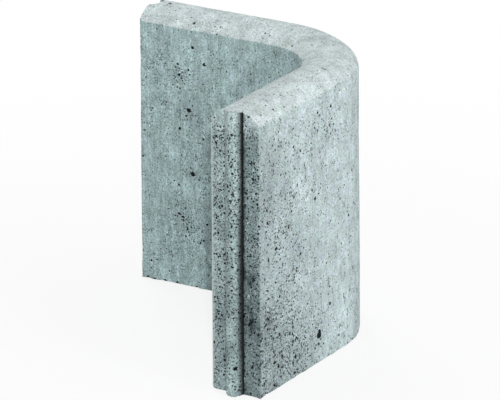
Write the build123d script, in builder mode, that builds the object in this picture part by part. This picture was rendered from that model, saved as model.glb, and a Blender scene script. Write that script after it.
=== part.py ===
from build123d import *

import os

# Corner stone of a concrete lawn edging, cast in one piece: two upright legs joined by a
# rounded bend, under an arched crown, with a half-round tongue down the end of one leg and
# the groove that takes such a tongue down the end of the other.
# Millimetres, +Z up. The grooved leg runs from the bend towards -X and the tongued leg
# towards -Y. The origin is the middle of the overall box, on the face that the stone
# stands on.

# Driving dimensions
height = 250.0  # standing face to the ridge of the crown
thickness = 50.0  # between the two upright faces of a leg
grooved_leg_length = 240.0  # outer face of the tongued leg to the mouth of the groove
tongued_leg_length = 240.0  # outer face of the grooved leg to the shoulders of the tongue
inner_bend_radius = 55.0  # upright face on the inside of the bend
crown_rise = 12.0  # ridge of the crown above its two long edges
tongue_radius = 8.0
joint_clearance = 1.0  # between the tongue of one stone and the groove of the next
end_arris_radius = 1.5  # upright outer corners of the two ends
groove_lip_radius = 1.5  # upright edges of the groove's mouth
tongue_root_radius = 0.8  # upright inside corners between the tongue and its shoulders
mould_overrun = 5.0  # how far the form that shapes the crown reaches past the stone

# Sizes that follow
half_thickness = thickness / 2
centre_bend_radius = inner_bend_radius + half_thickness
outer_bend_radius = inner_bend_radius + thickness
groove_radius = tongue_radius + joint_clearance
crown_edge_height = height - crown_rise

# Places in plan. The middle of the overall box is the origin, so the sharp corner where
# the two outer faces would meet lies half the overall sizes away from it.
corner_x = grooved_leg_length / 2
corner_y = (tongued_leg_length + tongue_radius) / 2
grooved_end = Vector(corner_x - grooved_leg_length, corner_y - half_thickness)
tongued_end = Vector(corner_x - half_thickness, corner_y - tongued_leg_length)
bend_start = Vector(corner_x - outer_bend_radius, corner_y - half_thickness)


def centre_line(overrun=0.0):
    """The line midway between the upright faces, from the grooved end to the tongued end."""
    with BuildLine(mode=Mode.PRIVATE) as middle:
        grooved_leg = Line(grooved_end - (overrun, 0), bend_start)
        bend = JernArc(grooved_leg @ 1, grooved_leg % 1, centre_bend_radius, -90)
        Line(bend @ 1, tongued_end - (0, overrun))
    return middle.line


with BuildPart() as corner_stone:
    # Plan of the stone, which is the same at every height below the crown
    with BuildSketch() as plan:
        trace(centre_line(), thickness)
        with Locations(tongued_end):
            Circle(tongue_radius)
        with Locations(grooved_end):
            Circle(groove_radius, mode=Mode.SUBTRACT)

        # The four corners of each end, in order across the stone
        grooved_corners = plan.vertices().group_by(Axis.X)[0].sort_by(Axis.Y)
        tongued_corners = plan.vertices().group_by(Axis.Y)[0].sort_by(Axis.X)
        fillet(grooved_corners[1:3], groove_lip_radius)
        fillet(tongued_corners[1:3], tongue_root_radius)
        fillet([grooved_corners[0], grooved_corners[3]], end_arris_radius)
        fillet([tongued_corners[0], tongued_corners[3]], end_arris_radius)
    extrude(amount=height)

    # The crown is one arc from face to face, carried round the bend and over the tongue.
    # The form that shapes it runs on past both ends and stands clear of both faces.
    form_path = centre_line(overrun=tongue_radius + mould_overrun)
    form_plane = Plane(form_path @ 0, x_dir=(0, 1, 0), z_dir=form_path % 0)
    with BuildSketch(form_plane) as crown_form:
        with BuildLine():
            crown = ThreePointArc(
                (-half_thickness, crown_edge_height),
                (0, height),
                (half_thickness, crown_edge_height),
            )
            Polyline(
                crown @ 1,
                (half_thickness + mould_overrun, crown_edge_height),
                (half_thickness + mould_overrun, height + mould_overrun),
                (-half_thickness - mould_overrun, height + mould_overrun),
                (-half_thickness - mould_overrun, crown_edge_height),
                crown @ 0,
            )
        make_face()
    sweep(path=form_path, mode=Mode.SUBTRACT)

corner_stone.part.label = "corner_stone"
os.makedirs("parts", exist_ok=True)
export_step(corner_stone.part, "parts/corner_stone.step")
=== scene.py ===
"""Looks of the concrete edging corner stone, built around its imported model.

Metres throughout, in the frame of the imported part: +Z up, the grooved leg towards -X and the
tongued leg towards -Y. The stone is one casting, so one mesh stands for its one node.
"""
import math

import bmesh
import bpy
import numpy as np
from mathutils import Matrix, Vector, noise
from mathutils.geometry import delaunay_2d_cdt


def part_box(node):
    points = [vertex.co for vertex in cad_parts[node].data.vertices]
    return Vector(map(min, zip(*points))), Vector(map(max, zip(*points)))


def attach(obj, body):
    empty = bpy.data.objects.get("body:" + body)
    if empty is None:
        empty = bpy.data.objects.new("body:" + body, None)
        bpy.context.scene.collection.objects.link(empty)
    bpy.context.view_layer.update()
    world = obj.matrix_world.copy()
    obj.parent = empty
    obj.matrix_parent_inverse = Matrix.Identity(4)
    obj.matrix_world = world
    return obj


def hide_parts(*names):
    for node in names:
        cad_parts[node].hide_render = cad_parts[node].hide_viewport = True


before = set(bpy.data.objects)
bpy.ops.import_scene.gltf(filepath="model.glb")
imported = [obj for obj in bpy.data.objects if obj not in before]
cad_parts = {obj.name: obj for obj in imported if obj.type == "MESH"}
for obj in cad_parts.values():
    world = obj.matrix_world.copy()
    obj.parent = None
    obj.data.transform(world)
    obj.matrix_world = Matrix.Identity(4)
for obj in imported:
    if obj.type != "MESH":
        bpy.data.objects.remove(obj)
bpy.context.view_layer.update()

MM = 0.001
STONE_NODE = "corner_stone"
LOW, HIGH = (np.array(corner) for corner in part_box(STONE_NODE))

# Sizes that the box doesn't give
THICKNESS = 50 * MM
INNER_BEND_RADIUS = 55 * MM
CROWN_RISE = 12 * MM
TONGUE_RADIUS = 8 * MM
GROOVE_RADIUS = 9 * MM
GROOVE_LIP = 1.5 * MM
TONGUE_ROOT = 0.8 * MM
END_ARRIS = 1.8 * MM
WORN_ARRIS = 5.5 * MM
CREVICE = TONGUE_RADIUS - 0.05 * MM
CREVICE_HALF = 0.5 * MM
OUTER_CROWN_ROUNDING = 15 * MM
WALL_DRAFT = 1.5 * MM
END_DRAFT = 1.3 * MM
END_DRAFT_REACH = 60 * MM

# Sizes that follow
HALF = THICKNESS / 2
HEIGHT = HIGH[2]
OUTER_BEND_RADIUS = INNER_BEND_RADIUS + THICKNESS
CENTRE_BEND_RADIUS = INNER_BEND_RADIUS + HALF
BEND_CENTRE = HIGH[:2] - OUTER_BEND_RADIUS
GROOVED_STRAIGHT = BEND_CENTRE[0] - LOW[0]
BEND_LENGTH = CENTRE_BEND_RADIUS * math.pi / 2
TONGUED_STRAIGHT = BEND_CENTRE[1] - (LOW[1] + TONGUE_RADIUS)
CENTRE_LENGTH = GROOVED_STRAIGHT + BEND_LENGTH + TONGUED_STRAIGHT
CROWN_RADIUS = (HALF**2 + CROWN_RISE**2) / (2 * CROWN_RISE)

# Painted shade on the tongue's outer flank, at distances in millimetres past the end: near the crown and
# the foot, and halfway up
ROOT_SHADE_PLACES = (-0.5, 0.6, 1.9, 3.7, 5.0, 6.0)
THIN_ROOT_SHADE = (1, 0.9, 0.6, 0.3, 0.08, 0)
WIDE_ROOT_SHADE = (1, 0.96, 0.86, 0.6, 0.2, 0)

# The concrete's skin on each surface, in two tints, and how loud its grain is there
SKINS = {
    "outer": ("#bccecb", "#c4d1d7"),
    "sheltered": ("#a0b8b6", "#abbfc3"),
    "crown": ("#cddcd9", "#d7e1e5"),
    "end": ("#a5bcba", "#b1c2c5"),
}
GRAIN_LOUDNESS = {"outer": 0.25, "sheltered": 0.36, "end": 0.50, "crown": 0.24}

# What lies in and on the skin, with painted shade in its pores and roots and a painted highlight on one
# arris, and what full grime and painted shade leave of red, green and blue
GRIME_AND_SHADE_FILTER = (-0.2, 0.03, 0.05, 1)
PALE_SAND = "#dde5e5"
RED_SAND = "#a5654f"
POROUS_SKIN = "#74868a"
# Painted shade of pores too fine to cut: pinpricks, dots, pits and blots
PRICK_SHADE = "#212b2b"
DOT_SHADE = "#131b1c"
PIT_SHADE = "#222c2d"
BLOT_SHADE = "#0d1314"
# Painted highlight on the worn inner upright arris of the tongued end
PAINTED_ARRIS_HIGHLIGHT = "#dfe9e8"
# Painted shade inside the cut pores, by their depth
PAINTED_PORE_SHADE = "#161d1e"
# Painted shade in the tongue's roots, near black
PAINTED_ROOT_SHADE = "#080a0b"

WHITE = (1, 1, 1, 1)

# Lamps: name, place, size and watts
LAMPS = (
    ("key", (3.0, -0.6, 1.5), 1.6, 36),
    ("beside_camera", (1.62, -2.43, 1.45), 0.10, 38),
    ("behind", (-2.0, 1.4, 2.2), 1.8, 36),
)
LAMPS_AIM_AT = Vector((0, 0, 0.12))
STUDIO_STRENGTH = 0.34

# Pores, in metres and in points for each square metre
PORE_SIZES = {
    "Pinhole spacing": 2.1 * MM,
    "Pinhole density": 90000.0,
    "Pinhole smallest": 0.6 * MM,
    "Pinhole largest": 1.2 * MM,
    "Pore spacing": 5.0 * MM,
    "Pore density": 6500.0,
    "Pore smallest": 0.9 * MM,
    "Pore largest": 1.9 * MM,
    "Chip spacing": 5.0 * MM,
    "Chip density": 60000.0,
    "Chip smallest": 0.8 * MM,
    "Chip largest": 2.4 * MM,
}

# Where pores crowd together or, below zero, are rare: surface, then in millimetres the place along
# the centre line or across the tongued end, the height and the reach, and a weight
PORE_CLUSTERS = (
    ("outer", 300, 216, 14, 0.55),
    ("outer", 282, 205, 10, 0.45),
    ("outer", 345, 165, 12, 0.5),
    ("outer", 333, 105, 14, 0.5),
    ("outer", 365, 140, 12, 0.4),
    ("outer", 340, 16, 22, 0.7),
    ("outer", 375, 35, 25, 0.6),
    ("outer", 300, 25, 10, 0.5),
    ("inner", 42, 195, 9, 0.8),
    ("inner", 52, 163, 7, 0.7),
    ("inner", 54, 106, 8, 0.6),
    ("inner", 44, 64, 10, 0.8),
    ("inner", 62, 54, 8, 0.5),
    ("tongued", -3, 61, 8, -0.7),
    ("tongued", -3, 9, 9, -0.7),
    ("tongued", 14, 66, 9, 0.5),
    ("tongued", -12, 66, 9, 0.4),
)

# The larger blowholes: surface, then in millimetres the place along the centre line or across the
# end, the height and the radius, and how much taller than wide. None of them overlap.
BLOWHOLES = (
    ("outer", 300, 26, 4.0, 1.1),
    ("outer", 307, 15.5, 1.5, 1.0),
    ("outer", 293.5, 15.5, 1.4, 1.0),
    ("outer", 339, 19, 1.9, 1.3),
    ("outer", 343, 15, 1.7, 1.2),
    ("outer", 335.5, 14, 1.3, 1.0),
    ("outer", 366, 20, 1.9, 1.6),
    ("outer", 370.5, 25, 1.6, 1.0),
    ("outer", 361, 27, 1.3, 1.0),
    ("outer", 385, 63, 2.0, 1.2),
    ("outer", 381, 57, 1.3, 1.0),
    ("outer", 307, 213, 1.6, 1.2),
    ("outer", 347, 210, 1.3, 1.0),
    ("outer", 284, 217, 1.2, 1.0),
    ("outer", 278, 207, 1.4, 1.3),
    ("outer", 336, 179, 1.3, 1.0),
    ("outer", 291, 172, 1.2, 1.0),
    ("outer", 351, 161, 1.3, 1.0),
    ("outer", 252, 241, 1.2, 1.0),
    ("inner", 42, 195, 1.7, 1.0),
    ("inner", 45.5, 198, 1.1, 1.0),
    ("inner", 51, 164, 2.1, 1.2),
    ("inner", 54.5, 160, 1.1, 1.0),
    ("inner", 66, 140, 1.5, 1.0),
    ("inner", 56, 222, 1.8, 1.0),
    ("inner", 55, 106, 2.4, 1.1),
    ("inner", 61.5, 102, 1.3, 1.0),
    ("inner", 7, 1.6, 1.7, 0.8),
    ("inner", 14, 1.2, 1.6, 0.7),
    ("inner", 19, 1.0, 1.4, 0.7),
    ("inner", 25, 1.6, 1.9, 0.8),
    ("inner", 40.5, 67, 1.7, 1.0),
    ("inner", 44, 64.5, 1.5, 1.0),
    ("inner", 47.5, 62.5, 1.3, 1.0),
    ("inner", 51, 60.5, 1.2, 1.0),
    ("inner", 55, 58.5, 1.1, 1.0),
    ("inner", 60, 56.5, 1.1, 1.0),
    ("end", -13, 67.5, 1.7, 1.3),
    ("end", -10.5, 64, 1.3, 1.0),
    ("end", 15.5, 67, 1.8, 1.2),
    ("end", 12.5, 63.5, 1.4, 1.0),
    ("end", 18.5, 64, 1.2, 1.0),
    ("end", -15, 214, 1.4, 1.0),
    ("end", -14, 190, 1.5, 1.0),
    ("end", -11.5, 187, 1.2, 1.0),
    ("end", -3, 44, 1.1, 1.0),
)

# Dirt and, below zero, cleaner patches: surface, then in millimetres the place along the centre
# line or across the tongued end, the height and the reach sideways and upwards, and the share of
# light it takes
STAINS = (
    ("tongued", 15, 67, 6, 9, 0.35),
    ("tongued", 15, 106, 6, 11, 0.20),
    ("tongued", 14, 215, 7, 14, 0.15),
    ("tongued", -9, 31, 6, 7, 0.30),
    ("tongued", -13, 64, 6, 9, 0.20),
    ("tongued", 3, 44, 5, 6, 0.15),
    ("tongued", -15, 214, 6, 9, 0.15),
    ("tongued", -14, 166, 6, 8, 0.18),
    ("tongued", -11, 141, 7, 8, 0.20),
    ("tongued", -3, 61, 4, 9, -0.45),
    ("tongued", -3, 9, 5, 11, -0.50),
    ("tongued", -2, 24, 3, 8, -0.25),
    ("outer", 391, 226, 9, 14, 0.18),
    ("outer", 384, 62, 9, 12, 0.20),
    ("outer", 374, 68, 10, 14, 0.14),
    ("outer", 354, 172, 8, 10, 0.22),
    ("outer", 355, 46, 10, 10, 0.12),
    ("outer", 336, 18, 9, 9, 0.20),
    ("outer", 335, 122, 10, 14, 0.20),
    ("outer", 322, 100, 9, 10, 0.10),
    ("outer", 316, 22, 8, 8, 0.14),
    ("outer", 300, 22, 8, 9, 0.20),
    ("outer", 335, 78, 9, 12, -0.18),
    ("outer", 292, 246, 12, 9, 0.08),
    ("outer", 383, 192, 13, 32, 0.17),
    ("inner", 55, 106, 6, 7, 0.25),
    ("inner", 44, 65, 8, 5, 0.22),
    ("inner", 57, 57, 8, 5, 0.20),
    ("inner", 46, 194, 10, 9, 0.16),
    ("inner", 52, 163, 6, 6, 0.18),
)


def linear(code):
    """A colour written as sRGB hex, such as "#b2c0c1", in linear red, green, blue and alpha."""
    parts = [int(code[i : i + 2], 16) / 255 for i in (1, 3, 5)]
    return (*[p / 12.92 if p <= 0.04045 else ((p + 0.055) / 1.055) ** 2.4 for p in parts], 1.0)


def add(tree, kind, inputs=None, **settings):
    """Adds a node of a kind to a tree, with its settings, and with values or links on its inputs."""
    node = tree.nodes.new(kind)
    for name, value in settings.items():
        setattr(node, name, value)
    for key, value in (inputs or {}).items():
        if isinstance(key, int):
            socket = node.inputs[key]
        else:
            socket = next(s for s in node.inputs if s.name == key and s.enabled)
        if isinstance(value, bpy.types.NodeSocket):
            tree.links.new(value, socket)
        else:
            socket.default_value = value
    return node


def vector_maths(tree, operation, first, second):
    """The result of a sum on vectors, or of a vector scaled by a number."""
    second_key = "Scale" if operation == "SCALE" else 1
    inputs = {0: first, second_key: second}
    return add(tree, "ShaderNodeVectorMath", inputs, operation=operation).outputs[0]


# Form of the casting


def plan(along, across):
    """Plan position from the distance along the centre line, from the grooved end, and across it,
    towards the outer face."""
    turn = np.clip((along - GROOVED_STRAIGHT) / CENTRE_BEND_RADIUS, 0, math.pi / 2)
    before = np.minimum(along - GROOVED_STRAIGHT, 0)
    after = np.maximum(along - GROOVED_STRAIGHT - BEND_LENGTH, 0)
    reach = CENTRE_BEND_RADIUS + across
    x = BEND_CENTRE[0] + reach * np.sin(turn) + before
    y = BEND_CENTRE[1] + reach * np.cos(turn) - after
    return np.stack([x, y], axis=-1)


def crown_height(across):
    """Height of the crown's arc at a distance from the middle of the thickness."""
    return HEIGHT - CROWN_RADIUS + np.sqrt(CROWN_RADIUS**2 - across**2)


def half_round(across, radius, blend):
    """How far a half-round stands out of a flat end, with a small arc where the two meet."""
    side = np.abs(across)
    arc_at = math.sqrt((radius + blend) ** 2 - blend**2)
    meets_at = arc_at * radius / (radius + blend)
    round_part = np.sqrt(np.maximum(radius**2 - side**2, 0))
    arc_part = blend - np.sqrt(np.maximum(blend**2 - (arc_at - side) ** 2, 0))
    return np.where(side <= meets_at, round_part, np.where(side < arc_at, arc_part, 0))


def arris_setback(across, inner):
    """How far the rounded upright arrises fall back from a flat end, the inner one by its own radius."""
    radius = np.where(across < 0, inner, END_ARRIS)
    past = np.clip(np.abs(across) - (HALF - radius), 0, radius)
    return radius - np.sqrt(radius**2 - past**2)


def across_places(radius, blend, inner):
    """Places across the stone, close together at the arrises and at the edges of a half-round."""
    arc_at = math.sqrt((radius + blend) ** 2 - blend**2)
    bowl = radius * np.sin(np.linspace(0, math.pi / 2, 7))[:-1]
    root = np.linspace(radius * 0.995, arc_at, 3)
    sides = []
    for arris in (inner, END_ARRIS):
        flat = np.linspace(arc_at, HALF - arris, 6)[1:]
        rounded = HALF - arris + arris * np.sin(np.linspace(0, math.pi / 2, 5))[1:]
        sides.append(np.concatenate([bowl, root, flat, rounded]))
    return np.concatenate([-sides[0][:0:-1], sides[1]])


def row_fractions():
    """Heights of the wall's rows as shares of its height, closer together near both edges."""
    edge = np.array([0, 0.6, 1.4, 2.6, 4.4, 6.8]) * MM
    top = crown_height(HALF)
    middle = np.linspace(edge[-1], top - edge[-1], 42)[1:-1]
    return np.concatenate([edge, middle, top - edge[::-1]]) / top


def casting_mesh():
    """The stone as one closed mesh: a wall round its outline, the crown on it and the base under it."""
    groove_places = across_places(GROOVE_RADIUS, GROOVE_LIP, END_ARRIS)
    tongue_places = across_places(TONGUE_RADIUS, TONGUE_ROOT, WORN_ARRIS)
    stations = np.linspace(0, CENTRE_LENGTH, 151)
    share = (stations / CENTRE_LENGTH)[:, None]
    across = groove_places * (1 - share) + tongue_places * share
    end_zone = 20 * MM
    near_start = np.clip(1 - stations / end_zone, 0, 1)[:, None]
    near_finish = np.clip(1 - (CENTRE_LENGTH - stations) / end_zone, 0, 1)[:, None]
    start = half_round(groove_places, GROOVE_RADIUS, GROOVE_LIP)
    start += arris_setback(groove_places, END_ARRIS)
    finish = half_round(tongue_places, TONGUE_RADIUS, TONGUE_ROOT)
    finish -= arris_setback(tongue_places, WORN_ARRIS)
    along = stations[:, None] + start * near_start + finish * near_finish
    crown = np.concatenate([plan(along, across), crown_height(across)[..., None]], axis=-1)

    rows, columns = crown.shape[:2]
    index = np.arange(rows * columns).reshape(rows, columns)
    outline = np.concatenate([index[:, -1], index[-1, -2::-1], index[-2::-1, 0], index[0, 1:-1]])
    points = [crown.reshape(-1, 3)]
    faces = [
        (index[i, j], index[i + 1, j], index[i + 1, j + 1], index[i, j + 1])
        for i in range(rows - 1)
        for j in range(columns - 1)
    ]

    top_ring = crown.reshape(-1, 3)[outline]
    fractions = row_fractions()
    upper, first_free = outline, rows * columns
    for share_up in fractions[-2::-1]:
        ring = top_ring * (1, 1, share_up)
        lower = np.arange(first_free, first_free + len(outline))
        points.append(ring)
        first_free += len(outline)
        for k in range(len(outline)):
            after = (k + 1) % len(outline)
            faces.append((upper[k], upper[after], lower[after], lower[k]))
        upper = lower

    base_points, base_faces = base_inside(top_ring[:, :2])
    points.append(base_points)
    known = np.concatenate([upper, np.arange(first_free, first_free + len(base_points))])
    faces += [tuple(known[list(face)][::-1]) for face in base_faces]

    mesh = bpy.data.meshes.new("stone_casting")
    mesh.from_pydata(np.concatenate(points).tolist(), [], [tuple(map(int, f)) for f in faces])
    mesh.update()
    return mesh


def base_inside(ring):
    """Points scattered over the base and the triangles that join them to its outline."""
    chooser = np.random.default_rng(11)
    spacing = 7 * MM
    along = np.arange(spacing, CENTRE_LENGTH - spacing, spacing)
    across = np.arange(-HALF + spacing, HALF - spacing / 2, spacing)
    grid = np.stack(np.meshgrid(along, across), axis=-1).reshape(-1, 2)
    grid += chooser.uniform(-0.25, 0.25, grid.shape) * spacing
    clear_of_groove = GROOVE_RADIUS + 3 * MM
    keep = (grid[:, 0] > clear_of_groove) | (np.abs(grid[:, 1]) > clear_of_groove)
    inside = plan(grid[keep, 0], grid[keep, 1])
    corners = [Vector(p) for p in np.concatenate([ring, inside])]
    count = len(ring)
    rim = [(k, (k + 1) % count) for k in range(count)]
    found, _, triangles, *_ = delaunay_2d_cdt(corners, rim, [list(range(count))], 1, 1e-7)
    return np.array([(*p, 0.0) for p in found[count:]]), triangles


def unplan(points):
    """Distances along the centre line and across it, of points on the stone."""
    dx, dy = (points[:, :2] - BEND_CENTRE).T
    turn = np.arctan2(np.maximum(dx, 0), np.maximum(dy, 0))
    along = GROOVED_STRAIGHT + CENTRE_BEND_RADIUS * turn
    across = np.hypot(dx, dy) - CENTRE_BEND_RADIUS
    grooved, tongued = dx < 0, dy < 0
    along = np.where(grooved, GROOVED_STRAIGHT + dx, along)
    across = np.where(grooved, dy - CENTRE_BEND_RADIUS, across)
    along = np.where(tongued, GROOVED_STRAIGHT + BEND_LENGTH - dy, along)
    across = np.where(tongued, dx - CENTRE_BEND_RADIUS, across)
    return along, across


def soft(points, size, seed, octaves=3):
    """Smooth noise, about -1 to 1, whose lumps have a size in metres on each axis."""
    shift = Vector((seed * 17.3, seed * 5.1, seed * 9.7))
    scaled = points / np.array(size)
    return np.array([noise.fractal(Vector(p) + shift, 1.0, 2.0, octaves) for p in scaled])


def ramp(value, low, high):
    """0 below low and 1 above high, with a smooth step between them. low may be the larger."""
    share = np.clip((value - low) / (high - low), 0, 1)
    return share * share * (3 - 2 * share)


def by_height(part, low, high):
    """A ramp between two heights in millimetres."""
    return ramp(part["height"], low * MM, high * MM)


def by_tongue(part, far, near):
    """A ramp towards the tongued end, between two distances from it in millimetres."""
    return ramp(part["along"], CENTRE_LENGTH - far * MM, CENTRE_LENGTH - near * MM)


def coordinates(mesh):
    flat = np.empty(len(mesh.vertices) * 3)
    mesh.vertices.foreach_get("co", flat)
    return flat.reshape(-1, 3)


def normals(mesh):
    flat = np.empty(len(mesh.vertices) * 3)
    mesh.vertices.foreach_get("normal", flat)
    return flat.reshape(-1, 3)


def set_coordinates(mesh, points):
    mesh.vertices.foreach_set("co", points.ravel())
    mesh.update()


def set_attribute(mesh, name, values):
    """Stores one number, or one vector, for each vertex."""
    kind, field = ("FLOAT", "value") if values.ndim == 1 else ("FLOAT_VECTOR", "vector")
    mesh.attributes.new(name, kind, "POINT").data.foreach_set(field, values.astype(float).ravel())


def surfaces(mesh):
    """How far each vertex belongs to each surface of the stone, from 0 to 1."""
    points, facing = coordinates(mesh), normals(mesh)
    along, across = unplan(points)
    along = along + end_lean(CENTRE_LENGTH - along, points[:, 2]) - end_lean(along, points[:, 2])
    over_crown = (points[:, 2] > crown_height(HALF) - 9 * MM) & (facing[:, 2] > 0)
    crown = np.where(over_crown, ramp(facing[:, 2], 0.15, 0.6), 0)
    upright = 1 - np.abs(facing[:, 2])
    tongued = ramp(along, CENTRE_LENGTH - 4 * MM, CENTRE_LENGTH - 0.5 * MM) * (1 - crown)
    tongued *= ramp(-facing[:, 1], 0.1, 0.6) + ramp(along, CENTRE_LENGTH, CENTRE_LENGTH + MM)
    grooved = ramp(along, GROOVE_RADIUS + MM, GROOVE_RADIUS - MM) * (1 - crown)
    grooved *= ramp(-facing[:, 0], 0.1, 0.6) + ramp(np.abs(across), GROOVE_RADIUS + MM, GROOVE_RADIUS)
    return {
        "along": along,
        "across": across,
        "height": points[:, 2],
        "crown": crown,
        "tongued": np.clip(tongued, 0, 1),
        "grooved": np.clip(grooved, 0, 1),
        "outer": ramp(across, HALF - 3 * MM, HALF - MM) * upright,
        "inner": ramp(-across, HALF - 3 * MM, HALF - MM) * upright,
    }


def nearness(part, side, place, height, wide, tall):
    """1 at a marked place, in millimetres along the centre line or across the end, fading round it."""
    lies = part["across"] if side == "tongued" else part["along"]
    away = np.hypot((lies / MM - place) / wide, (part["height"] / MM - height) / tall)
    return np.exp(-(away**2))


def roll_outer_crown(mesh):
    """Rolls the crown's outer edge into the wall, by the gap between the sharp section and one
    with a wide arc that touches both. Close to the tongued end the edge stays sharper."""
    radius = OUTER_CROWN_ROUNDING
    crown_centre = HEIGHT - CROWN_RADIUS
    arc_centre = crown_centre + math.sqrt((CROWN_RADIUS - radius) ** 2 - (HALF - radius) ** 2)
    edge_at = math.asin(HALF / CROWN_RADIUS)
    starts_at = math.atan2(HALF - radius, arc_centre - crown_centre)
    edge = np.array([HALF, crown_height(HALF)])
    facing = np.array([1 + math.sin(edge_at), math.cos(edge_at)])
    facing /= np.linalg.norm(facing)
    sideways = np.array([facing[1], -facing[0]])

    def section(middle, height, reach, turns):
        points = np.stack([middle + reach * np.sin(turns), height + reach * np.cos(turns)], axis=-1) - edge
        return points @ sideways, points @ facing

    crown_side = section(0, crown_centre, CROWN_RADIUS, np.linspace(starts_at, edge_at, 40))
    wall_side = edge[1] - np.linspace(edge[1], arc_centre, 40)
    sharp = [np.concatenate([crown_side[k], -wall_side * (sideways, facing)[k][1]]) for k in (0, 1)]
    rolled = section(HALF - radius, arc_centre, radius, np.linspace(starts_at, math.pi / 2, 60))

    points = coordinates(mesh)
    along, across = unplan(points)
    away = np.stack([across, points[:, 2]], axis=-1) - edge
    place, out = away @ sideways, away @ facing
    surface = np.interp(place, *sharp)
    gap = surface - np.interp(place, *rolled)
    inside = (place > sharp[0][0]) & (place < sharp[0][-1])
    fade = np.exp(-np.maximum(surface - out, 0) / (8 * MM))
    fade *= 1 - 0.8 * ramp(CENTRE_LENGTH - along, 30 * MM, 4 * MM)
    sunk = np.where(inside, gap, 0) * fade
    outward = np.maximum(points[:, :2] - BEND_CENTRE, 0)
    outward /= np.linalg.norm(outward, axis=1)[:, None]
    points[:, :2] -= outward * (sunk * facing[0])[:, None]
    points[:, 2] -= sunk * facing[1]
    set_coordinates(mesh, points)


def end_lean(from_end, height):
    """How far the draft of an end moves a point that lies this far from it."""
    return END_DRAFT * height / HEIGHT * np.clip(1 - from_end / END_DRAFT_REACH, 0, 1)


def lean(mesh):
    """Gives the outer wall and both ends the mould's slight draft, narrower towards the crown."""
    points = coordinates(mesh)
    along, across = unplan(points)
    rise = points[:, 2] / HEIGHT
    outward = np.maximum(points[:, :2] - BEND_CENTRE, 0)
    outward /= np.maximum(np.linalg.norm(outward, axis=1), MM)[:, None]
    share = np.clip(across / HALF, 0, 1)
    points[:, :2] -= outward * (WALL_DRAFT * rise * share)[:, None]
    points[:, 0] += end_lean(along, points[:, 2])
    points[:, 1] += end_lean(CENTRE_LENGTH - along, points[:, 2])
    set_coordinates(mesh, points)


def wear(mesh):
    """Rounds the arrises a little, unevenly."""
    points = coordinates(mesh)
    along, across = unplan(points)
    height = points[:, 2]
    edges = np.empty(len(mesh.edges) * 2, dtype=int)
    mesh.edges.foreach_get("vertices", edges)
    first, second = edges.reshape(-1, 2).T
    neighbours = np.bincount(edges, minlength=len(points))

    inner_edge = np.hypot(across + HALF, height - crown_height(HALF))
    base_edge = np.hypot(np.minimum(HALF - np.abs(across), 0), height)
    end_plane = np.minimum(np.abs(along), np.abs(along - CENTRE_LENGTH))
    end_top = np.hypot(end_plane, height - crown_height(np.clip(across, -HALF, HALF)))
    uneven = 0.6 + 0.5 * soft(points, (14 * MM,) * 3, seed=1)
    reach = (2.6 * MM, 0.8 * MM)
    near = np.maximum(ramp(np.minimum(inner_edge, base_edge), *reach), 0.35 * ramp(end_top, *reach))
    weight = (near * np.clip(uneven, 0.15, 1))[:, None]
    smoothing_rounds = 5
    for _ in range(smoothing_rounds):
        total = np.zeros_like(points)
        np.add.at(total, first, points[second])
        np.add.at(total, second, points[first])
        points += 0.6 * weight * (total / neighbours[:, None] - points)
    points[:, 2] = np.maximum(points[:, 2], 0)
    set_coordinates(mesh, points)


def relief(mesh):
    """Sinks the skin by fractions of a millimetre: wavy walls, upright drag marks from the
    stripping of the mould, a grainy crown and rougher ends."""
    points, facing, part = coordinates(mesh), normals(mesh), surfaces(mesh)
    ends = np.maximum(part["tongued"], part["grooved"])
    walls = np.clip(part["outer"] + part["inner"] - ends, 0, 1)
    waves = soft(points, (55 * MM,) * 3, seed=2, octaves=2)
    lumps = soft(points, (7 * MM,) * 3, seed=3, octaves=2)
    drags = soft(points, (6 * MM, 6 * MM, 60 * MM), seed=4, octaves=2)
    grain = soft(points, (3.2 * MM,) * 3, seed=5, octaves=3)
    sunk = 0.30 * (1 + waves) + 0.10 * (1 + lumps) + 0.12 * walls * (1 + drags)
    sunk += (0.30 * ends + 0.12 * part["crown"]) * (1 + grain)
    sunk *= by_height(part, 0, 1.2)
    deepest = 1.6
    set_coordinates(mesh, points - facing * np.clip(sunk, 0, deepest)[:, None] * MM)


def porous(points, part):
    """How closely pores lie on each part of the surface, from 0 to 1."""
    patches = ramp(soft(points, (22 * MM,) * 3, seed=6), -0.25, 0.45)
    tight = ramp(soft(points, (9 * MM,) * 3, seed=7), 0.0, 0.5)
    near_tongue = by_tongue(part, 115, 10) * by_height(part, 240, 215)
    low_tongue = by_tongue(part, 125, 20) * by_height(part, 130, 30)
    outer = 0.07 + 0.20 * patches * tight + near_tongue * (0.26 + 0.40 * tight)
    outer = part["outer"] * (outer + low_tongue * (0.4 + 0.4 * patches))
    inner = part["inner"] * (0.05 + 0.14 * patches * tight)
    ends = np.maximum(part["tongued"], part["grooved"]) * (0.55 + 0.45 * patches)
    ends *= 0.2 + 0.8 * by_height(part, 242, 228)
    crown = part["crown"] * (0.05 + 0.15 * patches * tight)
    weight = np.maximum.reduce([outer, inner, ends, crown])
    for side, place, height, reach, amount in PORE_CLUSTERS:
        weight += part[side] * amount * nearness(part, side, place, height, reach, reach)
    return np.clip(weight * by_height(part, 0, 1.5), 0, 1)


def pore_weights(mesh):
    """Stores how closely pores lie on each part of the surface and where arrises chip."""
    part = surfaces(mesh)
    set_attribute(mesh, "porosity", porous(coordinates(mesh), part))
    near_end = np.minimum(np.abs(part["along"]), np.abs(part["along"] - CENTRE_LENGTH))
    upright = np.hypot(HALF - np.abs(part["across"]), near_end)
    chips = 0.8 * by_height(part, 2.5, 0.5) * by_height(part, 0, 0.2)
    chips += 0.3 * ramp(upright, 2.5 * MM, 0.8 * MM)
    set_attribute(mesh, "chipping", np.clip(chips, 0, 1))


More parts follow.
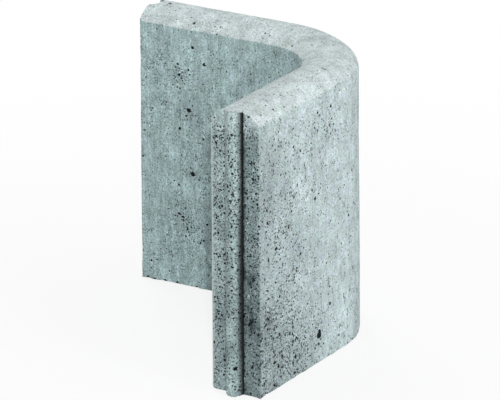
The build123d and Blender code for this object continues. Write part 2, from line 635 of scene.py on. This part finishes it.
def ragged_pebble(tree, level, seed, raggedness=1.9):
    """A lumpy closed ball of radius about 1, whose faces are the walls of a pore."""
    ball = add(tree, "GeometryNodeMeshIcoSphere", {"Radius": 1.0, "Subdivisions": level})
    place = add(tree, "GeometryNodeInputPosition").outputs[0]
    shifted = vector_maths(tree, "ADD", place, (seed * 3.7, seed, -seed))
    lumps = add(tree, "ShaderNodeTexNoise", {"Vector": shifted, "Scale": 0.9, "Detail": 1.0})
    centred = vector_maths(tree, "SUBTRACT", lumps.outputs["Color"], (0.5, 0.5, 0.5))
    pushed = vector_maths(tree, "SCALE", centred, raggedness)
    ragged = add(tree, "GeometryNodeSetPosition", {"Geometry": ball.outputs["Mesh"], "Offset": pushed})
    return ragged.outputs[0]


def scattered_pebbles(tree, skin, sizes, kind, level, weight):
    """Pebbles half sunk in the skin, apart from each other, with many small ones and few large."""
    factor = add(tree, "GeometryNodeInputNamedAttribute", {"Name": weight}, data_type="FLOAT")
    points = add(
        tree,
        "GeometryNodeDistributePointsOnFaces",
        {
            "Mesh": skin,
            "Distance Min": sizes[f"{kind} spacing"],
            "Density Max": sizes[f"{kind} density"],
            "Density Factor": factor.outputs[0],
            "Seed": len(kind),
        },
        distribute_method="POISSON",
    )
    chance = add(tree, "FunctionNodeRandomValue", {"Min": 0.0, "Max": 1.0, "Seed": 1}, data_type="FLOAT")
    rare = add(tree, "ShaderNodeMath", {0: chance.outputs[1], 1: 1.7}, operation="POWER")
    radius = add(
        tree,
        "ShaderNodeMapRange",
        {"Value": rare.outputs[0], "To Min": sizes[f"{kind} smallest"], "To Max": sizes[f"{kind} largest"]},
    )
    lift = add(tree, "FunctionNodeRandomValue", {"Min": -0.35, "Max": 0.35, "Seed": 2}, data_type="FLOAT")
    rise = add(tree, "ShaderNodeMath", {0: lift.outputs[1], 1: radius.outputs[0]}, operation="MULTIPLY")
    away = vector_maths(tree, "SCALE", points.outputs["Normal"], rise.outputs[0])
    placed = add(tree, "GeometryNodeSetPosition", {"Geometry": points.outputs["Points"], "Offset": away})
    turn = add(
        tree,
        "FunctionNodeRandomValue",
        {"Min": (0, 0, 0), "Max": (2 * math.pi,) * 3, "Seed": 3},
        data_type="FLOAT_VECTOR",
    )
    copies = add(
        tree,
        "GeometryNodeInstanceOnPoints",
        {
            "Points": placed.outputs[0],
            "Instance": ragged_pebble(tree, level, seed=level),
            "Rotation": turn.outputs[0],
            "Scale": radius.outputs[0],
        },
    )
    return add(tree, "GeometryNodeRealizeInstances", {"Geometry": copies.outputs[0]}).outputs[0]


def marked_pebbles(tree, marks):
    """Pebbles where the larger blowholes lie, each with its own width and height."""
    place = add(tree, "GeometryNodeObjectInfo", {"Object": marks})
    size = add(tree, "GeometryNodeInputNamedAttribute", {"Name": "size"}, data_type="FLOAT_VECTOR")
    turn = add(
        tree,
        "FunctionNodeRandomValue",
        {"Min": (0, 0, 0), "Max": (0, 0, 2 * math.pi), "Seed": 4},
        data_type="FLOAT_VECTOR",
    )
    copies = add(
        tree,
        "GeometryNodeInstanceOnPoints",
        {
            "Points": place.outputs["Geometry"],
            "Instance": ragged_pebble(tree, 2, seed=5, raggedness=1.0),
            "Rotation": turn.outputs[0],
            "Scale": size.outputs[0],
        },
    )
    return add(tree, "GeometryNodeRealizeInstances", {"Geometry": copies.outputs[0]}).outputs[0]


def pore_tree():
    """Cuts pores, blowholes and chipped arrises into the casting, and notes how deep each point lies."""
    tree = bpy.data.node_groups.new("pores_and_chips", "GeometryNodeTree")
    tree.is_modifier = True
    sockets = tree.interface
    sockets.new_socket("Geometry", in_out="INPUT", socket_type="NodeSocketGeometry")
    sockets.new_socket("Marked blowholes", in_out="INPUT", socket_type="NodeSocketObject")
    sockets.new_socket("Root crevices", in_out="INPUT", socket_type="NodeSocketObject")
    sockets.new_socket("Concrete", in_out="INPUT", socket_type="NodeSocketMaterial")
    for name in PORE_SIZES:
        sockets.new_socket(name, in_out="INPUT", socket_type="NodeSocketFloat")
    sockets.new_socket("Geometry", in_out="OUTPUT", socket_type="NodeSocketGeometry")
    sizes = add(tree, "NodeGroupInput").outputs
    skin = sizes["Geometry"]
    cutters = [
        scattered_pebbles(tree, skin, sizes, "Pinhole", 1, "porosity"),
        scattered_pebbles(tree, skin, sizes, "Pore", 2, "porosity"),
        scattered_pebbles(tree, skin, sizes, "Chip", 1, "chipping"),
        marked_pebbles(tree, sizes["Marked blowholes"]),
        add(tree, "GeometryNodeObjectInfo", {"Object": sizes["Root crevices"]}).outputs["Geometry"],
    ]
    cut = add(tree, "GeometryNodeMeshBoolean", {"Mesh 1": skin}, operation="DIFFERENCE", solver="MANIFOLD")
    for cutter in cutters:
        tree.links.new(cutter, cut.inputs["Mesh 2"])
    depth = add(tree, "GeometryNodeProximity", {"Geometry": skin}, target_element="FACES")
    noted = add(
        tree,
        "GeometryNodeStoreNamedAttribute",
        {"Geometry": cut.outputs["Mesh"], "Name": "depth", "Value": depth.outputs["Distance"]},
        data_type="FLOAT",
        domain="POINT",
    )
    real = add(tree, "GeometryNodeRealizeInstances", {"Geometry": noted.outputs[0]}).outputs[0]
    dressed = add(tree, "GeometryNodeSetMaterial", {"Geometry": real, "Material": sizes["Concrete"]})
    add(tree, "NodeGroupOutput", {"Geometry": dressed.outputs[0]})
    return tree


def blowhole_marks():
    """The larger blowholes, at their places on the stone."""
    points, sizes = [], []
    for side, along, height, radius, taller in BLOWHOLES:
        if side == "end":
            x, y = plan(np.array(CENTRE_LENGTH), np.array(along * MM))
        else:
            x, y = plan(np.array(along * MM), np.array(HALF if side == "outer" else -HALF))
        points.append((x, y, height * MM))
        sizes.append((radius * MM, radius * MM, radius * taller * MM))
    mesh = bpy.data.meshes.new("blowhole_marks")
    mesh.from_pydata(points, [], [])
    set_attribute(mesh, "size", np.array(sizes))
    marks = bpy.data.objects.new("blowhole_marks", mesh)
    bpy.context.collection.objects.link(marks)
    return marks


def root_crevices():
    """Ragged blades that open the roots of the tongue from foot to crown: side, place, width, depth."""
    chooser = np.random.default_rng(5)
    blades = (
        (CREVICE, CREVICE_HALF, 3.4 * MM),
        (-TONGUE_RADIUS - 0.2 * MM, 0.3 * MM, 1.0 * MM),
    )
    mouth = 6 * MM
    points, faces = [], []
    heights = np.arange(-3 * MM, HEIGHT + 4 * MM, 2.6 * MM)
    for middle, half_width, reach in blades:
        first = len(points)
        for z in heights:
            wide = half_width * chooser.uniform(0.85, 1.2)
            deep = reach * chooser.uniform(0.8, 1.2)
            wander = middle + chooser.uniform(-0.12, 0.12) * MM
            section = ((mouth, wide), (-deep, 0.5 * wide), (-deep, -0.5 * wide), (mouth, -wide))
            for along, across in section:
                x, y = plan(np.array(CENTRE_LENGTH + along), np.array(wander + across))
                points.append((x, y, z))
        count = 4
        for k in range(len(heights) - 1):
            at = first + k * count
            for j in range(count):
                after = (j + 1) % count
                faces.append((at + j, at + after, at + count + after, at + count + j))
        last = first + (len(heights) - 1) * count
        faces.append(tuple(first + j for j in reversed(range(count))))
        faces.append(tuple(last + j for j in range(count)))
    mesh = bpy.data.meshes.new("root_crevices")
    mesh.from_pydata(points, [], faces)
    mesh.update()
    fix = bmesh.new()
    fix.from_mesh(mesh)
    bmesh.ops.recalc_face_normals(fix, faces=fix.faces)
    fix.to_mesh(mesh)
    fix.free()
    crevices = bpy.data.objects.new("root_crevices", mesh)
    bpy.context.collection.objects.link(crevices)
    return crevices


def applied(thing):
    """The thing with its modifiers turned into a plain mesh."""
    graph = bpy.context.evaluated_depsgraph_get()
    mesh = bpy.data.meshes.new_from_object(
        thing.evaluated_get(graph), preserve_all_data_layers=True, depsgraph=graph
    )
    thing.modifiers.clear()
    thing.data = mesh
    return mesh


def cut_pores(stone, material):
    """Runs the pore tree on the stone and leaves a plain mesh."""
    helpers = {"Marked blowholes": blowhole_marks(), "Root crevices": root_crevices()}
    values = {**PORE_SIZES, **helpers, "Concrete": material}
    modifier = stone.modifiers.new("pores", "NODES")
    modifier.node_group = pore_tree()
    for socket in modifier.node_group.interface.items_tree:
        if socket.name in values:
            modifier[socket.identifier] = values[socket.name]
    mesh = applied(stone)
    for helper in helpers.values():
        bpy.data.objects.remove(helper)
    return mesh


def grime_and_shade_share(part):
    """How much of its light each point loses to dirt, most near the tongue and low on the end, and
    to painted shade on the end's shoulder right of the tongue.
    """
    from_end = np.maximum(CENTRE_LENGTH - part["along"], 0)
    low = by_height(part, 150, 80)
    beside_tongue = (TONGUE_RADIUS - 2 * MM, TONGUE_RADIUS + MM)
    right = ramp(part["across"], *beside_tongue)
    left = ramp(-part["across"], *beside_tongue)
    wall = 0.34 * np.exp(-from_end / (60 * MM))
    wall += 0.10 * by_height(part, 90, 20) * ramp(from_end, 140 * MM, 60 * MM)
    # The end's shoulder right of the tongue is darker all the way up: partly painted shade of the tongue
    # and partly dirt
    end = 0.13 + low * (0.14 - 0.06 * left + 0.26 * right) + (0.24 * right - 0.10 * left) * (1 - low)
    end *= 1 - 0.6 * by_height(part, 222, 242)
    total = part["outer"] * (1 - part["tongued"]) * wall + part["tongued"] * end
    for side, place, height, wide, tall, amount in STAINS:
        total += part[side] * amount * nearness(part, side, place, height, wide, tall)
    return np.clip(total, -0.5, 0.8)


def painted_root_shade(part):
    """Painted shade in the roots of the tongue: solid in the open crevice, fading up the flank beside it.
    """
    past_end = part["along"] - CENTRE_LENGTH
    lip = CREVICE + CREVICE_HALF
    root_shade = 0.8 * ramp(np.hypot(part["across"] - lip, past_end), 1.5 * MM, 0.2 * MM) * part["tongued"]

    halfway_up = by_height(part, 185, 140) * by_height(part, 5, 55)
    thin, wide = (np.interp(past_end / MM, ROOT_SHADE_PLACES, shares) for shares in (THIN_ROOT_SHADE, WIDE_ROOT_SHADE))
    flank_shade = thin * (1 - halfway_up) + wide * halfway_up
    tongue_side = part["across"] < lip
    on_flank = (past_end > -0.7 * MM) & (part["across"] > 0) & tongue_side
    root_shade = np.where(on_flank, flank_shade, root_shade)

    in_slit = (past_end < 0) & (past_end > -6 * MM) & tongue_side
    in_slit &= np.abs(part["across"] - CREVICE) < 2 * MM
    root_shade = np.where(in_slit, 1, root_shade)

    far_root = np.hypot(part["across"] + TONGUE_RADIUS, past_end)
    root_shade = np.maximum(root_shade, 0.4 * ramp(far_root, 2.2 * MM, 0.4 * MM) * part["tongued"])
    under_crown = crown_height(np.clip(part["across"], -HALF, HALF)) - part["height"]
    clear = 1 - part["crown"] * ramp(under_crown, 3.5 * MM, 2 * MM)
    return root_shade * clear * (part["height"] > 0.01 * MM)


def surface_marks(mesh):
    """Stores what the concrete's material reads: place, surfaces, painted highlight, grime and painted
    shade.
    """
    part = surfaces(mesh)
    crown_edge = crown_height(HALF)
    near_tongue = by_tongue(part, 150, 60)
    fading = ramp(part["height"], crown_edge - (26 + 14 * near_tongue) * MM, crown_edge - 2 * MM)
    fading *= part["outer"] * (0.36 + 0.18 * near_tongue)
    right = ramp(part["across"], 2 * MM, 14 * MM)
    end_top = part["tongued"] * by_height(part, 226, 246) * (0.3 + 0.3 * right)
    set_attribute(mesh, "crown", np.maximum.reduce([part["crown"], fading, end_top]))
    set_attribute(mesh, "struck_end", np.maximum(part["tongued"], part["grooved"]) * (1 - end_top))
    set_attribute(mesh, "sheltered", part["inner"])
    set_attribute(mesh, "unrolled", np.stack([part["along"], part["across"], part["height"]], axis=-1))

    set_attribute(mesh, "painted_root_shade", painted_root_shade(part))
    # Painted highlight along the worn inner upright arris of the tongued end
    arris = np.hypot(part["across"] + HALF, part["along"] - CENTRE_LENGTH)
    set_attribute(mesh, "arris_highlight", ramp(arris, 4.6 * MM, 2.9 * MM) * (1 - part["crown"]))
    set_attribute(mesh, "grime_and_shade", grime_and_shade_share(part))
    set_attribute(mesh, "speckled", porous(coordinates(mesh), part))


def shade_by_angle(mesh, degrees):
    """Smooth shading that breaks at edges sharper than an angle."""
    mesh.shade_smooth()
    mesh.set_sharp_from_angle(angle=math.radians(degrees))


def concrete_material():
    """Precast concrete, stripped while green from a steel mould: a pale skin of cement over fine
    sand, with short upright drag marks on the walls and open pores that hold dirt and shadow."""
    material = bpy.data.materials.new("precast_concrete")
    material.use_nodes = True
    tree = material.node_tree
    shader = tree.nodes["Principled BSDF"]
    place = add(tree, "ShaderNodeTexCoord").outputs["Object"]

    def reading(name, output="Fac"):
        return add(tree, "ShaderNodeAttribute", attribute_name=name).outputs[output]

    def scaled(size, source):
        factors = tuple(1 / (s * MM) for s in size)
        return vector_maths(tree, "MULTIPLY", source, factors)

    def pattern(size, detail=1.0, source=place):
        """Noise whose grain has a size in millimetres on each axis."""
        inputs = {"Vector": scaled(size, source), "Scale": 1.0, "Detail": detail, "Roughness": 0.55}
        return add(tree, "ShaderNodeTexNoise", inputs).outputs[0]

    def spread(value, low, high, to_low=0.0, to_high=1.0):
        """A value's share of the way from low to high, or that share between two other numbers."""
        inputs = {"Value": value, "From Min": low, "From Max": high, "To Min": to_low, "To Max": to_high}
        return add(tree, "ShaderNodeMapRange", inputs).outputs[0]

    def maths(operation, first, second):
        return add(tree, "ShaderNodeMath", {0: first, 1: second}, operation=operation).outputs[0]

    def blend(factor, first, second, mode="MIX"):
        inputs = {0: factor, 6: first, 7: second}
        return add(tree, "ShaderNodeMix", inputs, data_type="RGBA", blend_type=mode).outputs[2]

    def grey(level):
        return (level, level, level, 1)

    def swing(value, reach, amount):
        """A factor round 1, from a pattern that reaches this far either side of a half."""
        return spread(value, 0.5 - reach, 0.5 + reach, 1 - amount, 1 + amount)

    def specks(size, radius, softness, share, source=place):
        """Specks in a cell size in millimetres: 1 inside, for a share of the cells."""
        cell = add(tree, "ShaderNodeTexVoronoi", {"Vector": scaled((size,) * 3, source), "Scale": 1.0})
        chance = add(tree, "ShaderNodeSeparateColor", {0: cell.outputs["Color"]})
        chosen = maths("LESS_THAN", chance.outputs[0], share)
        reach = maths("MULTIPLY", radius, spread(chance.outputs[1], 0.0, 1.0, 0.55, 1.0))
        inside = spread(cell.outputs["Distance"], reach, maths("SUBTRACT", reach, softness))
        return maths("MULTIPLY", inside, chosen)

    crown = reading("crown")
    end = reading("struck_end")
    sheltered = reading("sheltered")
    speckled = reading("speckled")
    grime_and_shade = reading("grime_and_shade")
    depth = reading("depth")
    unrolled = reading("unrolled", "Vector")

    # The crown's pale skin ends in streaks that run along the stone
    lengthwise = pattern((34, 1.8, 1.8), detail=1, source=unrolled)
    crown = spread(maths("ADD", crown, spread(lengthwise, 0.3, 0.7, -0.28, 0.28)), 0.25, 0.75)
    not_crown = maths("SUBTRACT", 1.0, crown)
    wall = maths("MULTIPLY", not_crown, maths("SUBTRACT", 1.0, end))

    # Patterns of the skin, from its grain to its clouds
    grain = pattern((1.35, 1.35, 1.5), detail=1)
    loud = {surface: grey(level) for surface, level in GRAIN_LOUDNESS.items()}
    loudness = blend(sheltered, loud["outer"], loud["sheltered"])
    loudness = blend(crown, blend(end, loudness, loud["end"]), loud["crown"])
    sand = pattern((2.8, 2.8, 2.8), detail=2)
    short_drags = pattern((1.25, 1.25, 9), detail=1)
    long_drags = pattern((1.8, 1.8, 48), detail=2)
    blotches = pattern((11, 11, 14), detail=2)
    clouds = pattern((38, 38, 44), detail=2)

    tint = spread(pattern((5, 5, 7), detail=1), 0.35, 0.65)
    skins = {surface: blend(tint, *map(linear, pair)) for surface, pair in SKINS.items()}
    skin = blend(sheltered, skins["outer"], skins["sheltered"])
    skin = blend(end, blend(crown, skin, skins["crown"]), skins["end"])

    tone = maths("ADD", 1.0, maths("MULTIPLY", spread(grain, 0.26, 0.74, -1.0, 1.0), loudness))
    tone = maths("MULTIPLY", tone, blend(crown, swing(sand, 0.2, 0.12), swing(sand, 0.2, 0.08)))
    tone = maths("MULTIPLY", tone, swing(blotches, 0.18, 0.14))
    tone = maths("MULTIPLY", tone, swing(clouds, 0.15, 0.07))
    short_tone = blend(sheltered, swing(short_drags, 0.22, 0.07), swing(short_drags, 0.22, 0.13))
    long_tone = blend(sheltered, swing(long_drags, 0.2, 0.06), swing(long_drags, 0.2, 0.13))
    drag_tone = blend(1.0, short_tone, long_tone, "MULTIPLY")
    drag_tone = blend(wall, WHITE, drag_tone)
    colour = blend(1.0, skin, tone, "MULTIPLY")
    colour = blend(1.0, colour, drag_tone, "MULTIPLY")

    # Pale sand, and painted shade of pinpricks and small pits too fine to cut, on a jittered place so that
    # none is round
    colour = blend(maths("MULTIPLY", specks(2.3, 0.32, 0.14, 0.25), 0.22), colour, linear(PALE_SAND))
    jitter_inputs = {"Vector": scaled((1.3,) * 3, place), "Scale": 1.0, "Detail": 1.0}
    jitter = add(tree, "ShaderNodeTexNoise", jitter_inputs).outputs["Color"]
    jitter = vector_maths(tree, "ADD", jitter, (-0.5,) * 3)
    ragged = vector_maths(tree, "ADD", place, vector_maths(tree, "SCALE", jitter, 1.7 * MM))
    crowding = spread(pattern((7, 7, 8), detail=2), 0.38, 0.64, 0.2, 2.0)
    crowded = maths("MULTIPLY", spread(speckled, 0.0, 0.8, 0.2, 1.0), crowding)
    pit_reach = spread(speckled, 0.0, 0.8, 0.26, 0.44)
    pits = specks(2.0, pit_reach, 0.12, crowded, source=ragged)
    crowds = maths("MULTIPLY", maths("SUBTRACT", pattern((6, 6, 8), detail=2), 0.5), 0.5)
    pricked = maths("ADD", pattern((1.2, 1.2, 1.35), detail=2), crowds)
    prick_share = blend(end, blend(crown, grey(0.92), grey(0.5)), grey(0.6))
    pricks = maths("MULTIPLY", spread(pricked, 0.63, 0.68), prick_share)
    colour = blend(spread(speckled, 0.1, 1.0, 0.0, 0.1), colour, linear(POROUS_SKIN))
    colour = blend(pricks, colour, linear(PRICK_SHADE))
    dot_share = maths("MULTIPLY", spread(speckled, 0.04, 0.6, 0.08, 0.44), crowding)
    dots = specks(2.6, spread(speckled, 0.0, 0.8, 0.32, 0.45), 0.08, dot_share, source=ragged)
    colour = blend(maths("MULTIPLY", dots, 0.95), colour, linear(DOT_SHADE))
    colour = blend(maths("MULTIPLY", pits, 0.85), colour, linear(PIT_SHADE))
    blot_crowding = spread(pattern((12, 12, 14), detail=2), 0.4, 0.62, 0.3, 1.8)
    blot_share = maths("MULTIPLY", spread(speckled, 0.06, 0.6), blend(end, grey(0.4), grey(0.2)))
    blot_share = maths("MULTIPLY", blot_share, blot_crowding)
    blot_reach = maths("MULTIPLY", spread(speckled, 0.1, 0.8, 0.3, 0.42), spread(end, 0.0, 1.0, 1.0, 0.8))
    blots = specks(4.2, blot_reach, 0.05, blot_share, source=ragged)
    colour = blend(maths("MULTIPLY", blots, 0.96), colour, linear(BLOT_SHADE))
    colour = blend(specks(11, 0.09, 0.04, 0.06), colour, linear(RED_SAND))

    # Dirt with painted shade on the end, a painted highlight on the worn arris, painted shade in the cut
    # pores and in the tongue's roots
    lost = maths("MULTIPLY", grime_and_shade, spread(blotches, 0.3, 0.7, 0.6, 1.4))
    colour = blend(1.0, colour, blend(lost, WHITE, GRIME_AND_SHADE_FILTER), "MULTIPLY")
    # Painted highlight on the worn arris
    colour = blend(maths("MULTIPLY", reading("arris_highlight"), 0.85), colour, linear(PAINTED_ARRIS_HIGHLIGHT))
    # Painted shade in the cut pores, darker the deeper a point lies
    colour = blend(spread(depth, 0.05 * MM, 0.38 * MM), colour, linear(PAINTED_PORE_SHADE))
    # Painted shade in the roots of the tongue
    colour = blend(reading("painted_root_shade"), colour, linear(PAINTED_ROOT_SHADE))
    tree.links.new(colour, shader.inputs["Base Color"])
    shader.inputs["Roughness"].default_value = 0.92
    shader.inputs["Specular IOR Level"].default_value = 0.3

    dragged = maths("MULTIPLY", short_drags, maths("MULTIPLY", wall, 0.5))
    height = maths("ADD", dragged, maths("MULTIPLY", grain, 0.5))
    height = maths("ADD", height, maths("MULTIPLY", sand, 0.6))
    height = maths("SUBTRACT", height, maths("MULTIPLY", pits, 0.9))
    bump = add(tree, "ShaderNodeBump", {"Height": height, "Distance": 0.5 * MM, "Strength": 0.7})
    tree.links.new(bump.outputs[0], shader.inputs["Normal"])
    return material


def make_stone():
    mesh = casting_mesh()
    roll_outer_crown(mesh)
    lean(mesh)
    wear(mesh)
    relief(mesh)
    pore_weights(mesh)
    stone = bpy.data.objects.new("corner_stone_casting", mesh)
    bpy.context.collection.objects.link(stone)
    mesh = cut_pores(stone, concrete_material())
    surface_marks(mesh)
    shade_by_angle(mesh, degrees=40)
    return stone


def make_camera():
    """The photograph's view, fitted to the stone's corners and edges."""
    azimuth, elevation, roll = (math.radians(v) for v in (31.67, 20.03, 0.375))
    focal_pixels = 4987.8
    image_width = 500
    distance = 4.2466
    shift_right, shift_up = -3.77 * MM, 10.50 * MM
    aim = Vector((HIGH[0] - 100 * MM, HIGH[1] - 100 * MM, 125 * MM))
    right = Vector((math.cos(azimuth), math.sin(azimuth), 0))
    forward = Vector(
        (
            -math.sin(azimuth) * math.cos(elevation),
            math.cos(azimuth) * math.cos(elevation),
            -math.sin(elevation),
        )
    )
    up = right.cross(forward)
    rolled_right = right * math.cos(roll) - up * math.sin(roll)
    rolled_up = right * math.sin(roll) + up * math.cos(roll)
    place = aim - rolled_right * shift_right - rolled_up * shift_up - forward * distance
    data = bpy.data.cameras.new("photo_view")
    data.sensor_width = 36
    data.lens = focal_pixels / image_width * data.sensor_width
    data.clip_start, data.clip_end = 0.1, 50
    camera = bpy.data.objects.new("photo_view", data)
    turn = Matrix((rolled_right, rolled_up, -forward)).transposed()
    camera.matrix_world = Matrix.Translation(place) @ turn.to_4x4()
    bpy.context.collection.objects.link(camera)
    bpy.context.scene.camera = camera


def seen_directly(tree):
    """1 for rays that show the stage itself: straight from the camera, in a gloss or through glass."""
    path = add(tree, "ShaderNodeLightPath").outputs
    seen = path["Is Camera Ray"]
    for kind in ("Is Glossy Ray", "Is Transmission Ray"):
        seen = add(tree, "ShaderNodeMath", {0: seen, 1: path[kind]}, operation="MAXIMUM").outputs[0]
    return seen


def make_stage():
    """A pale floor that shows white around the stone and keeps its soft shadow."""
    size = 12.0
    mesh = bpy.data.meshes.new("floor")
    corners = [(-size, -size, 0), (size, -size, 0), (size, size, 0), (-size, size, 0)]
    mesh.from_pydata(corners, [], [(0, 1, 2, 3)])
    material = bpy.data.materials.new("pale_floor")
    material.use_nodes = True
    tree = material.node_tree
    shader = tree.nodes["Principled BSDF"]
    shader.inputs["Base Color"].default_value = linear("#f6f6f6")
    shader.inputs["Roughness"].default_value = 1.0
    white = add(tree, "ShaderNodeEmission", {"Color": WHITE, "Strength": 1.0})
    place = add(tree, "ShaderNodeTexCoord").outputs["Object"]
    away = add(tree, "ShaderNodeVectorMath", {0: place}, operation="LENGTH").outputs["Value"]
    fading = {"Value": away, "From Min": 0.12, "From Max": 0.7, "To Min": 0.84, "To Max": 1.0}
    lit = add(tree, "ShaderNodeMapRange", fading).outputs[0]
    share = add(tree, "ShaderNodeMath", {0: seen_directly(tree), 1: lit}, operation="MULTIPLY").outputs[0]
    mixed = add(tree, "ShaderNodeMixShader", {0: share, 1: shader.outputs[0], 2: white.outputs[0]})
    tree.links.new(mixed.outputs[0], tree.nodes["Material Output"].inputs["Surface"])
    mesh.materials.append(material)
    floor = bpy.data.objects.new("floor", mesh)
    bpy.context.collection.objects.link(floor)


def add_lamp(name, place, size, watts):
    data = bpy.data.lights.new(name, "AREA")
    data.shape = "DISK"
    data.size = size
    data.energy = watts
    lamp = bpy.data.objects.new(name, data)
    lamp.location = place
    lamp.rotation_euler = (LAMPS_AIM_AT - Vector(place)).to_track_quat("-Z", "Y").to_euler()
    bpy.context.collection.objects.link(lamp)


def make_light():
    """A white studio: a broad lamp high on the right, a small one beside the camera and a broad
    one behind."""
    world = bpy.data.worlds.new("studio")
    world.use_nodes = True
    tree = world.node_tree
    tree.nodes.clear()
    levels = {"Value": seen_directly(tree), "To Min": STUDIO_STRENGTH, "To Max": 1.0}
    strength = add(tree, "ShaderNodeMapRange", levels).outputs[0]
    background = add(tree, "ShaderNodeBackground", {"Color": WHITE, "Strength": strength})
    add(tree, "ShaderNodeOutputWorld", {"Surface": background.outputs[0]})
    bpy.context.scene.world = world
    for lamp in LAMPS:
        add_lamp(*lamp)


make_camera()
stone = make_stone()
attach(stone, "root")
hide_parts(STONE_NODE)
make_stage()
make_light()
bpy.context.scene.view_settings.view_transform = "Standard"
